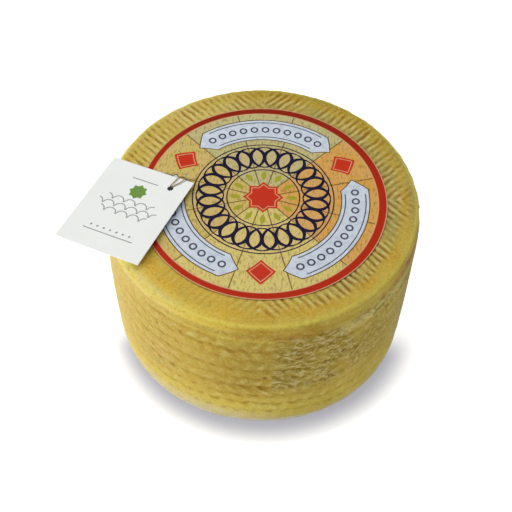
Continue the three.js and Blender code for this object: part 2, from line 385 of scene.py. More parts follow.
def plaited_side(fields, settings):
    """Rows of slanted plaits between seams: their height, how hollow each place is, with painted shade in the
    seams, and a painted highlight on the crests.
    """
    seam_width, fold_width = 1.6, 1.3
    scallop_depth, scallop_slant = 0.95, 0.045
    plait = fields.angle / TURN * PLAITS_PER_ROW
    wander = 0.5 * fields.waves(60, 11) + 0.6 * fields.waves(9, 12)
    scallop = scallop_depth * np.sin(TURN * (plait + scallop_slant * fields.height))
    row = (fields.height + wander + scallop - LOWEST_SEAM_HEIGHT) / ROW_HEIGHT
    # Every other line between rows is a deep seam, and the rest are shallow folds
    nearest = np.round(row)
    deep = nearest % 2 == 0
    width = np.where(deep, seam_width, fold_width) * fields.rough_share(1, 0.25, 0.6, 1.4)
    dashes = 0.78 + 0.22 * np.sin(TURN * (plait + 0.5 * nearest) + 0.8)
    in_rows = (nearest >= 1) & (nearest < ROW_COUNT)
    seam = hump(np.abs(row - nearest) * ROW_HEIGHT, 0, width) * dashes
    seam *= fields.rough_share(0.8, 0.4, 0.3, 1.3) * in_rows
    # The plaits slant one way in one row and the other way in the next
    share = row % 1
    index = np.floor(row)
    slant = np.where(index % 2 == 1, 1.0, -1.0)
    strand = plait + slant * 0.62 * (share - 0.5) + 0.31 * index + 0.22 * fields.waves(18, 13)
    crest = (0.5 + 0.5 * np.cos(TURN * strand)) ** 0.9
    bulge = np.sin(math.pi * share) ** 0.7 * window(row, 0, ROW_COUNT, 0.12)
    bulge *= fields.varied(7, 17, 0.9, 0.45, 0.2, 1.3)
    fine = np.cos(TURN * (3 * plait + slant * 1.9 * share)) * fields.rough_share(0.5, 0.6, 0, 1.3)
    strength = fields.side * plait_strength(fields)
    height = settings.plait_depth * (crest * bulge - 0.4) + settings.strand_depth * fine * bulge
    height -= np.where(deep, settings.seam_depth, settings.fold_depth) * seam
    # The seams and the plaits' lower slopes are darkened: partly darker rind, partly painted shade
    darkness = np.where(deep, 0.95, 0.7)
    hollow = np.clip(darkness * seam + 0.14 * (1 - crest) * bulge - 0.08 * fine * bulge, 0, 1)
    # Painted highlight on the upper, lit slopes of the plaits
    lit = np.clip(0.7 * crest * bulge + 0.2 * fine * bulge - 1.5 * seam - 0.2, 0, 1)
    return strength * height / MM, np.sqrt(strength) * hollow, strength * lit


def ridged_faces(fields, settings):
    """The ridges of the top and bottom faces: four fields of straight ridges, each along its own diagonal."""
    quarter = TURN / 4
    turned = (fields.angle - FIELD_TURN) % TURN
    diagonal = (np.floor(turned / quarter) + 0.5) * quarter + FIELD_TURN
    across = fields.y * np.cos(diagonal) - fields.x * np.sin(diagonal)
    across += 0.4 * fields.waves(26, 21) + 0.34 * fields.waves(5, 25)
    border = fields.radius * np.minimum(turned % quarter, quarter - turned % quarter)
    share = 0.5 + 0.5 * np.cos(TURN * across / RIDGE_PITCH)
    groove = share ** 2.2 * eased(border, 0.2, 1.0)
    front_left, front_right = fields.arc(121, 178, 3), fields.arc(178, 262, 3)
    worn_gap = fields.arc(334, 343, 3)
    reach = 93.5 - 4.0 * (front_left + front_right) + 1.4 * fields.waves(12, 22)
    start = np.where(fields.height > WHEEL_HEIGHT / 2, TOP_RIDGES_FROM, FOOT_RIDGES_FROM)
    strength = np.clip(0.95 + 0.35 * fields.waves(16, 23) + 0.5 * hump(fields.bearing, 187, 7), 0.25, 1.3)
    strength *= fields.rough_share(0.9, 0.65, 0.1, 1.4) * (0.8 + 0.2 * eased(fields.radius, 76, 83))
    strength *= (1 - 0.95 * front_left * fields.varied(18, 24, 0.95, 0.2)) * (1 - 0.75 * worn_gap)
    strength *= eased(fields.radius, start, start + 2) * eased(fields.radius, reach + 2, reach - 5)
    strength *= fields.top + fields.bottom
    dry = eased(fields.radius, 90, 83)
    lit = np.clip(1.1 - 1.5 * share, 0, 1) * (0.35 + 0.65 * dry)
    return -settings.ridge_depth / MM * groove * strength, 0.85 * groove * strength, lit * strength


def shoulder_marks(fields):
    """Two faint lines round the shoulder, and the worn crease there, deepest and highest at the right."""
    line_depth, crease_depth = 0.1, 0.5
    lines = hump(fields.height, 102.3, 0.7) + hump(fields.height, 106.0, 0.7)
    right = fields.arc(160, 285, 20)
    crease_height = 101.2 + fields.waves(30, 41) + 3.6 * eased(fields.bearing, 208, 250)
    notches = np.clip(0.7 + 0.5 * waves(fields.places * (1, 1, 0.4), 3.2, 42), 0.1, 1.3)
    crease = hump(fields.height, crease_height, 2.2) * (0.2 + 0.8 * right) * notches
    return -fields.outer * (line_depth * lines + crease_depth * crease), fields.outer * crease


def pits(fields, count, seed):
    """Small dents and pinholes scattered over the side and the shoulder."""
    narrowest, widest, shallowest, deepest = 0.8, 1.7, 0.15, 0.45
    draw = np.random.default_rng(seed)
    outside = np.flatnonzero((fields.radius > 90) & (fields.height > 4))
    depth = np.zeros(len(fields.radius))
    for centre in draw.choice(outside, count, replace=False):
        width = draw.uniform(narrowest, widest)
        away = np.linalg.norm(fields.places - fields.places[centre], axis=1)
        depth += draw.uniform(shallowest, deepest) * hump(away, 0, width)
    return depth


def barrel_shift(height):
    """How far the side stands out from its shoulder line's radius: a shallow curve through three lines."""
    share = height / WHEEL_HEIGHT
    straight = (FOOT_LINE_RADIUS - SHOULDER_LINE_RADIUS) * (1 - share)
    swell = MIDDLE_RADIUS - (SHOULDER_LINE_RADIUS + FOOT_LINE_RADIUS) / 2
    return straight + swell * 4 * share * (1 - share)


def round_error(fields):
    """How far the wheel is from round: a little full at the right of its side, and flatter at the back."""
    fullness, flatness = 1.0, 1.4
    full = fullness * fields.arc(196, 300, 20) * (1 - fields.top)
    return full - flatness * hump(fields.from_back, 18, 42)


def rind_zones(fields, crease):
    """Where each finish of the rind lies, as soft shares of 0 to 1."""
    radius, height, bearing, from_back = fields.radius, fields.height, fields.bearing, fields.from_back
    outer, side, top, arc, level = fields.outer, fields.side, fields.top, fields.arc, fields.level
    below_top = outer * (1 - top)
    cloudy = fields.varied(17, 61, 0.85, 0.45, 0, 1.2)
    patchy = fields.varied(12, 62, 0.6, 0.6)
    left = top * arc(84, 166, 14)
    right = arc(172, 208, 10) + arc(236, 262, 8)
    rim = window(radius, 85, 91, 3)
    # Painted highlight along the shoulder's rounded edge
    edge = hump(radius, 95.4, 1.4) * eased(height, 108.2, 110.5)
    shoulder = eased(radius, 90, 94) * level(99, 110.5, 2)
    back_right = window(from_back, -100, 12, 16) + arc(205, 270, 12) * eased(radius, 91, 86)
    back_left = top * window(from_back, 12, 80, 12)
    back_rim = top * window(from_back, -64, 14, 10) * eased(radius, 82, 90)
    # Painted light from the floor: a pale line round the foot, and the lower side paler at the left and the
    # front
    foot = outer * level(0.3, 5.2, 1.2)
    pale_foot = outer * eased(height, 20, 6) * arc(75, 182, 16)
    # Painted highlight: a wide pale band round the shoulder at the left
    pale_band = hump(radius, 94.6, 3) * eased(height, 107, 110) * arc(90, 150, 12)
    # Painted light from the floor at the foot on the right
    right_foot = outer * eased(height, 14, 6) * arc(192, 262, 8)
    upper_left = outer * eased(height, 88, 106) * arc(84, 142, 16)
    peach = outer * level(103.5, 110, 2) * arc(84, 148, 10)
    pale_top = top * arc(112, 134, 8) * eased(radius, 86, 92)
    top_seam = side * hump(height, 96.4, 2.2) * arc(138, 162, 6)
    pale_row = outer * hump(height, 99, 1.6) * arc(140, 184, 8)
    bright_right = outer * level(103, 109, 2) * arc(206, 238, 6)
    dry_right = outer * hump(height, 96, 4.5) * arc(208, 242, 6)
    # Painted light: the side's left edge, where the key light falls
    left_edge = side * arc(84, 118, 12)
    dark_spot = side * hump(height, 84, 7) * hump(bearing, 198, 8)
    # Painted light: the lower side paler where the floor lights it, and the top's outer band at the left
    # paler where the key light catches it
    painted_floor_light_low = side * eased(height, 42, 12) * (1 - 0.5 * eased(bearing, 175, 200))
    painted_left_highlight = left * eased(radius, 85, 95)
    most = np.maximum.reduce
    return {
        "rim": top * 0.6 * rim * cloudy,
        "gold": left * eased(radius, 75, 82) * cloudy,
        "lemon": most([edge, 0.7 * painted_floor_light_low, 0.75 * painted_left_highlight, 0.5 * pale_row, 0.2 * bright_right]),
        "rubbed": most([
            0.35 * upper_left, 0.85 * pale_foot, 0.8 * pale_band, 0.6 * peach, 0.35 * pale_top,
            0.45 * back_left * cloudy, 0.75 * dry_right, 0.4 * left_edge, 0.55 * right_foot,
        ]),
        "olive": top * np.clip(back_right, 0, 1) * cloudy * (1 - 0.7 * rim),
        "dull": np.maximum(below_top * arc(205, 330, 22) * cloudy, 0.7 * back_rim),
        # Painted shade across the upper front of the side
        "tawny": below_top * hump(bearing, 180, 24) * eased(height, 22, 50),
        "chalky": np.maximum(foot, 0.4 * pale_foot),
        # Painted shade on the far right of the side
        "shade": below_top * eased(height, 10, 20) * arc(244, 330, 9),
        "blush": np.maximum(side * arc(70, 155, 18), shoulder * arc(90, 150, 15)),
        # Brown is partly painted shade: under the shoulder and in its crease, most at the right
        "brown": most([
            crease * (0.4 + 0.6 * right), 0.8 * shoulder * right * patchy, top_seam * patchy, 0.8 * dark_spot,
        ]),
    }


def press_rind(mesh, settings):
    """Press the mould's relief into a plain turned wheel, and keep what the material needs to know."""
    broad_swell, fine_swell, smear_depth, crumb_depth = 0.3, 0.1, 0.13, 0.55
    places = vertex_values(mesh, "co") / MM
    fields = RindFields(places)
    side_height, side_hollow_and_shade, side_painted_highlight = plaited_side(fields, settings)
    face_height, face_hollow_and_shade, face_crest = ridged_faces(fields, settings)
    mark_height, crease = shoulder_marks(fields)
    above = eased(fields.height, 1, 6)
    uneven = broad_swell * (fields.waves(70, 51) - 0.6) + fine_swell * (fields.waves(9, 52) - 0.6)
    smear = smear_depth * (fields.rough - 0.5) * eased(fields.radius, 86, 92)
    crumbly = fields.patch + 0.35 * fields.arc(196, 285, 12) * fields.side
    crumble = crumb_depth * crumbly * (fields.crumbs - 0.75)
    dents = pits(fields, PIT_COUNT, 55)
    shift = side_height + face_height + mark_height + crumble
    shift += above * eased(fields.radius, 62, 72) * (uneven + smear) - above * dents
    out = places + vertex_values(mesh, "vector") * shift[:, None]
    corner = eased(fields.radius, 60, 89) * (barrel_shift(fields.height) + round_error(fields))
    out[:, :2] *= (1 + corner / np.maximum(fields.radius, 1))[:, None]
    out[:, :2] *= np.minimum(1, WHEEL_REACH / np.maximum(np.hypot(out[:, 0], out[:, 1]), 1))[:, None]
    out[:, 2] = np.clip(out[:, 2], WHEEL_LOW.z / MM, WHEEL_HEIGHT)
    move_vertices(mesh, out * MM)
    # Painted shadow: the crease under the shoulder darkened, most at the right
    worn = 0.7 * crease * fields.arc(214, 262, 8)
    # Hollows: darker rind, partly painted shade, in the seams, grooves and dents and in the crease under the
    # shoulder
    store(mesh, "hollow", side_hollow_and_shade + face_hollow_and_shade + worn + 0.9 * dents * above)
    # Crest holds the painted highlight of the plaits, and the pale dry tops of the ridges on the faces
    store(mesh, "crest", side_painted_highlight + face_crest)
    store(mesh, "patch", fields.patch)
    for name, share in rind_zones(fields, crease).items():
        store(mesh, name, share)


def spun(bm, angle, steps, merge):
    """Sweep what is in the bmesh round the upright axis."""
    bmesh.ops.spin(
        bm, geom=bm.verts[:] + bm.edges[:], cent=(0, 0, 0), axis=(0, 0, 1), dvec=(0, 0, 0),
        angle=angle, steps=steps, use_merge=merge, use_duplicate=False,
    )


def closed(bm, gap):
    """Merge the doubles at seams and poles, and turn the faces outwards."""
    bmesh.ops.remove_doubles(bm, verts=bm.verts, dist=gap)
    bmesh.ops.recalc_face_normals(bm, faces=bm.faces)


def turned_wheel():
    """A plain wheel turned from its half section, fine enough to take the relief."""
    wedges, wedge_steps = 12, 61
    inner_step, underside_step, fine_step = 24 * MM, 2.6 * MM, 1.25 * MM
    corners = (
        (0, 0), (FOOT_RIDGES_FROM, 0), (SHOULDER_LINE_RADIUS, 0),
        (SHOULDER_LINE_RADIUS, WHEEL_HEIGHT), (TOP_RIDGES_FROM, WHEEL_HEIGHT), (0, WHEEL_HEIGHT),
    )
    bm = bmesh.new()
    points = [bm.verts.new((radius * MM, 0, height * MM)) for radius, height in corners]
    for first, second in zip(points, points[1:]):
        bm.edges.new((first, second))
    for point, offset, segments in ((points[2], FOOT_ROUND, 5), (points[3], SHOULDER_ROUND, 9)):
        bmesh.ops.bevel(
            bm, geom=[point], offset=offset * MM, segments=segments, profile=0.5, affect="VERTICES",
            material=-1,
        )
    for edge in list(bm.edges):
        near_axis = min(vertex.co.x for vertex in edge.verts) < 1 * MM
        underside = max(vertex.co.z for vertex in edge.verts) < 1 * MM
        step = inner_step if near_axis else underside_step if underside else fine_step
        cuts = round(edge.calc_length() / step) - 1
        if cuts > 0:
            bmesh.ops.subdivide_edges(bm, edges=[edge], cuts=cuts)
    spun(bm, TURN / wedges, wedge_steps, False)
    first_wedge = bm.verts[:] + bm.edges[:] + bm.faces[:]
    for wedge in range(1, wedges):
        copy = bmesh.ops.duplicate(bm, geom=first_wedge)["geom"]
        copied = [item for item in copy if isinstance(item, bmesh.types.BMVert)]
        turn = Matrix.Rotation(wedge * TURN / wedges, 3, "Z")
        bmesh.ops.rotate(bm, verts=copied, cent=(0, 0, 0), matrix=turn)
    closed(bm, 0.01 * MM)
    return bm


def label_disc(settings):
    """A thin round sheet of paper."""
    rings, steps = 44, 192
    bm = bmesh.new()
    centre = bm.verts.new((0, 0, 0))
    edge = bm.verts.new((LABEL_RADIUS, 0, 0))
    bm.edges.new((centre, edge))
    bmesh.ops.subdivide_edges(bm, edges=bm.edges[:], cuts=rings - 1)
    spun(bm, TURN, steps, True)
    closed(bm, 0.001 * MM)
    bmesh.ops.solidify(bm, geom=bm.faces[:], thickness=settings.thickness)
    highest = max(vertex.co.z for vertex in bm.verts)
    bmesh.ops.translate(bm, verts=bm.verts, vec=(LABEL_CENTRE.x, LABEL_CENTRE.y, LABEL_HIGH.z - highest))
    return bm


def settle_label(mesh):
    """Let the paper down onto the rind: slack waves, and a slight sag into the grooves near its edge."""
    slack_depth, sag_depth = 0.05, 0.06
    places = vertex_values(mesh, "co") / MM
    outer = eased(np.hypot(places[:, 0], places[:, 1]), 58, 74)
    slack = slack_depth * (waves(places, 30, 71) - 1.5) * (0.3 + outer)
    places[:, 2] += slack - sag_depth * outer * np.clip(waves(places, 6, 72), 0, 1)
    move_vertices(mesh, places * MM)


def tag_card(settings):
    """A flat card in the tag's own frame, with a round punched hole."""
    # The cells round the hole are cut away, and the gap is bridged to a finer circle
    columns, rows, cut_cells, hole_sides = 30, 36, 2, 32
    cell = (TAG_WIDTH / columns, TAG_HEIGHT / rows)
    bm = bmesh.new()
    bmesh.ops.create_grid(bm, x_segments=columns, y_segments=rows, size=0.5)
    bmesh.ops.scale(bm, verts=bm.verts, vec=(TAG_WIDTH, TAG_HEIGHT, 1))
    cut = []
    for face in bm.faces:
        away = face.calc_center_median().xy - TAG_HOLE
        if abs(away.x) < cut_cells * cell[0] and abs(away.y) < cut_cells * cell[1]:
            cut.append(face)
    bmesh.ops.delete(bm, geom=cut, context="FACES")
    window_edges = []
    for edge in bm.edges:
        middle = (edge.verts[0].co + edge.verts[1].co) / 2
        if edge.is_boundary and (middle.xy - TAG_HOLE).length < 3 * max(cell):
            window_edges.append(edge)
    hole = bmesh.ops.create_circle(bm, segments=hole_sides, radius=TAG_HOLE_RADIUS)["verts"]
    bmesh.ops.translate(bm, verts=hole, vec=TAG_HOLE.to_3d())
    rim = list(dict.fromkeys(edge for vertex in hole for edge in vertex.link_edges))
    bmesh.ops.bridge_loops(bm, edges=window_edges + rim)
    bmesh.ops.recalc_face_normals(bm, faces=bm.faces)
    bmesh.ops.solidify(bm, geom=bm.faces[:], thickness=settings.thickness)
    middle = (max(v.co.z for v in bm.verts) + min(v.co.z for v in bm.verts)) / 2
    bmesh.ops.translate(bm, verts=bm.verts, vec=(0, 0, -middle))
    return bm


def curl_card(mesh, settings):
    """Bend the card's free left end up a little, which draws it in, then lay it in its place."""
    places = vertex_values(mesh, "co")
    free = np.clip(-places[:, 0] / (TAG_WIDTH / 2), 0, 1)
    low = (1 - places[:, 1] / (TAG_HEIGHT / 2)) / 2
    drawn_in = 0.1 * MM
    places[:, 0] += drawn_in * free ** 2
    places[:, 2] += settings.curl * free ** 2 * (0.45 + 0.55 * low)
    move_vertices(mesh, places)
    mesh.transform(TAG_PLACE)


# Thread

def new_line(name, kind, places):
    """A curve of one spline with its points at the given places."""
    curve = bpy.data.curves.new(name, "CURVE")
    curve.dimensions = "3D"
    spline = curve.splines.new(kind)
    spline.points.add(len(places) - 1)
    spline.points.foreach_set("co", np.c_[places, np.ones(len(places))].ravel())
    return curve, spline


def mesh_from(curve):
    """The mesh that the curve makes, in its stead."""
    holder = bpy.data.objects.new(curve.name, curve)
    mesh = bpy.data.meshes.new_from_object(holder)
    bpy.data.objects.remove(holder)
    bpy.data.curves.remove(curve)
    return mesh


def thread_line(step):
    """The smooth line of the model's control points, as points at equal steps and how far along each is."""
    curve, spline = new_line("thread_route", "NURBS", [TAG_PLACE @ Vector(place) for place in THREAD_ROUTE])
    spline.order_u = 4
    spline.use_endpoint_u = True
    mesh = mesh_from(curve)
    places = vertex_values(mesh, "co")
    bpy.data.meshes.remove(mesh)
    lengths = np.r_[0, np.cumsum(np.linalg.norm(np.diff(places, axis=0), axis=1))]
    marks = np.linspace(0, lengths[-1], round(lengths[-1] / step) + 1)
    line = np.stack([np.interp(marks, lengths, places[:, axis]) for axis in range(3)], axis=1)
    return line, marks


def carried_frames(line):
    """Two directions square to the line at each of its points, each pair carried over from the one before."""
    tangents = np.gradient(line, axis=0)
    tangents /= np.linalg.norm(tangents, axis=1)[:, None]
    first = np.zeros_like(line)
    normal = np.cross(tangents[0], (0.0, 0.0, 1.0))
    for index, tangent in enumerate(tangents):
        normal = normal - tangent * (normal @ tangent)
        normal /= np.linalg.norm(normal)
        first[index] = normal
    return first, np.cross(tangents, first)


def tube_mesh(name, line, radius, sides):
    """A round tube with closed ends along a line of points."""
    curve, _ = new_line(name, "POLY", line)
    curve.bevel_depth = radius
    curve.bevel_resolution = sides // 2 - 2
    curve.use_fill_caps = True
    return mesh_from(curve)


def joined(meshes):
    """The meshes as one closed bmesh."""
    bm = bmesh.new()
    for mesh in meshes:
        bm.from_mesh(mesh)
        bpy.data.meshes.remove(mesh)
    closed(bm, 0.0001 * MM)
    return bm


def plied_tube(line, marks, settings):
    """Two plies wound round each other along the line."""
    ply_share, ply_sides = 0.27, 8
    first, second = carried_frames(line)
    ply_radius = settings.diameter * ply_share
    offset = settings.diameter / 2 - ply_radius
    plies = []
    for start in (0, math.pi):
        turn = TURN * marks / settings.twist + start
        centre = line + offset * (first * np.cos(turn)[:, None] + second * np.sin(turn)[:, None])
        plies.append(tube_mesh("ply", centre, ply_radius, ply_sides))
    return joined(plies)


def overhand_knot(settings):
    """A small tight knot: one thick thread along a trefoil, flattened to the model's knot."""
    knot_points, knot_sides, tightness = 97, 10, 0.45
    turn = np.linspace(0, TURN, knot_points)
    loop = np.stack([
        np.sin(turn) + 2 * np.sin(2 * turn),
        np.cos(turn) - 2 * np.cos(2 * turn),
        -np.sin(3 * turn),
    ], axis=1)
    radius = settings.diameter * tightness
    room = np.array((KNOT_HIGH - KNOT_LOW) / 2) - radius
    loop *= room / np.abs(loop).max(axis=0)
    return joined([tube_mesh("knot", loop + np.array(KNOT_CENTRE), radius, knot_sides)])


# Materials

def add(tree, kind, *values, **settings):
    """Add a shader node with its settings, and fill its inputs: in order, or by a dict of names or numbers.

    The kind may end in the node's operation. A value that is a node stands for its first output in use.
    """
    kind, _, operation = kind.partition(" ")
    node = tree.nodes.new("ShaderNode" + kind)
    if operation:
        node.operation = operation
    for name, value in settings.items():
        setattr(node, name, value)
    inputs = values[0] if values and isinstance(values[0], dict) else dict(enumerate(values))
    for key, value in inputs.items():
        if isinstance(value, bpy.types.Node):
            value = next(output for output in value.outputs if output.enabled)
        if isinstance(value, bpy.types.NodeSocket):
            tree.links.new(value, node.inputs[key])
        else:
            node.inputs[key].default_value = value
    return node


def new_material(name):
    """An empty node material, and the function that adds a node to it."""
    material = bpy.data.materials.new(name)
    material.use_nodes = True
    material.node_tree.nodes.clear()
    return material, partial(add, material.node_tree)


def inked(node, settings, colour, layers):
    """The colour under layers of ink, the lowest first: each layer's mask, strength and name of its ink."""
    for mask, strength, ink in layers:
        share = node("Math MULTIPLY", mask, strength)
        colour = node("Mix", {0: share, 6: colour, 7: getattr(settings, ink)}, data_type="RGBA")
    return colour


def surfaced(material, node, inputs):
    """The material, finished with a surface that has these inputs."""
    node("OutputMaterial", {"Surface": node("BsdfPrincipled", inputs)})
    return material


def from_row(node, along, pitch, off):
    """How far a place is from the nearest of a row of points at equal steps."""
    across = node("Math WRAP", along, pitch / 2, -pitch / 2)
    return node("VectorMath LENGTH", node("CombineXYZ", across, off))


def ring_of_places(node, angle, radius, circle, count, turn=0):
    """In a ring of equal places: how far along the circle a point is from the nearest, and how far off it."""
    step = TURN / count
    nearest = node("Math WRAP", node("Math ADD", angle, turn), step / 2, -step / 2)
    return node("Math MULTIPLY", nearest, circle), node("Math SUBTRACT", radius, circle)


def eight_points(node, across, up):
    """How far out a place lies, where the same distance makes an eight-pointed star."""
    square = node("Math MULTIPLY", node("Math MAXIMUM", across, up), math.sqrt(2))
    return node("Math MINIMUM", node("Math ADD", across, up), square)


def rind_material(settings):
    """Oiled natural cheese rind, pressed in plaited mats: waxy and mottled, matt where it is a dry crust."""
    material, node = new_material("oiled_cheese_rind")
    place = node("TexCoord").outputs["Object"]
    flattened = node("Mapping", {"Vector": place, "Scale": (1, 1, 2.6)})
    # The patch's fibres run a little down to the right
    fibres = node("Mapping", {"Vector": place, "Rotation": (0, math.radians(28), 0), "Scale": (0.4, 0.8, 1)})
    # How wide the patches of each pattern are in millimetres, its detail, its roughness and where it is read
    pattern = {}
    for name, width, detail, rough, vector in (
        ("broad", 45, 3, 0.55, place),
        ("mottle", 11, 5, 0.6, place),
        ("blotch", 8, 3, 0.6, place),
        ("streak", 4.5, 4, 0.6, flattened),
        ("lump", 3.4, 5, 0.55, place),
        ("grain", 1.6, 4, 0.65, place),
        ("fibre", 1.6, 5, 0.65, fibres),
    ):
        inputs = {"Vector": vector, "Scale": 1 / (width * MM), "Detail": detail, "Roughness": rough}
        pattern[name] = node("TexNoise", inputs)
    # The coats of colour from the first to the last: the ink, the pattern that breaks it up, where that
    # pattern starts to show and shows fully, how strong the coat is, and the zone that it keeps to
    coats = (
        ("olive", "broad", 0.5, 0.72, 0.4, None),
        ("amber", "mottle", 0.46, 0.68, 0.55, None),
        ("olive", "mottle", 0.1, 0.5, 0.9, "olive"),
        ("dull", "mottle", 0.1, 0.55, 0.85, "dull"),
        ("tawny", "mottle", 0.1, 0.5, 0.8, "tawny"),
        ("blush", "blotch", 0.42, 0.62, 0.5, "blush"),
        ("amber", "mottle", 0.25, 0.6, 0.9, "rim"),
        ("gold", "mottle", 0.2, 0.6, 0.9, "gold"),
        ("amber", "lump", 0.46, 0.62, 0.6, "gold"),
        ("lemon", "mottle", 0.05, 0.4, 0.9, "lemon"),
        ("brown", "mottle", 0.2, 0.55, 0.95, "brown"),
        ("cream", "mottle", 0.1, 0.5, 0.8, "rubbed"),
        ("foot_light_ink", "mottle", 0.1, 0.5, 0.9, "chalky"),
        ("cream", "grain", 0.53, 0.68, 0.36, None),
        ("amber", "streak", 0.54, 0.68, 0.6, "blush"),
        ("cream", "streak", 0.44, 0.3, 0.45, "blush"),
        # Painted highlight on the plaits' crests, and the dry ridge tops
        ("cream", "streak", 0.25, 0.6, 0.78, "crest"),
        ("hollow", "grain", 0.47, 0.3, 0.36, None),
        ("hollow", "lump", 0.05, 0.3, 0.8, "hollow"),
        ("gap", "fibre", 0.56, 0.4, 0.75, "patch"),
        ("gap", "mottle", 0.1, 0.5, 0.7, "shade"),
        ("crust", "fibre", 0.5, 0.66, 0.9, "patch"),
    )
    zones = dict.fromkeys(kept_to for *_, kept_to in coats if kept_to)
    zone = {name: node("Attribute", attribute_name=name).outputs["Fac"] for name in zones}
    layers = []
    for ink, name, start, full, strength, kept_to in coats:
        mask = node("MapRange", pattern[name], start, full, 0, strength)
        layers.append((mask, zone[kept_to] if kept_to else 1, ink))
    for bearing, height, width in SIDE_SPECKS:
        angle = math.radians(bearing) + TURN / 4
        centre = Vector((MIDDLE_RADIUS * math.cos(angle), MIDDLE_RADIUS * math.sin(angle), height)) * MM
        away = node("VectorMath DISTANCE", place, centre)
        ragged = node("Math MULTIPLY_ADD", pattern["grain"], 1.2 * MM, away)
        layers.append((node("MapRange", ragged, width * MM, 0.4 * width * MM), 0.8, "speck"))
    dry = node("Math MULTIPLY", pattern["fibre"], zone["patch"])
    roughness = node("Math MULTIPLY_ADD", dry, 0.4, 0.38)
    roughness = node("Math MULTIPLY_ADD", pattern["grain"], 0.22, roughness)
    relief = node("Math MULTIPLY_ADD", pattern["grain"], 0.4, pattern["lump"])
    relief = node("Math MULTIPLY_ADD", dry, 2.5, relief)
    return surfaced(material, node, {
        "Base Color": inked(node, settings, settings.straw, layers), "Roughness": roughness,
        "Normal": node("Bump", {"Strength": 0.75, "Distance": 0.5 * MM, "Height": relief}),
        "IOR": 1.45, "Specular IOR Level": 0.05, "Subsurface Weight": 0.1, "Subsurface Scale": 2.5 * MM,
        "Subsurface Radius": (1.0, 0.6, 0.25),
    })


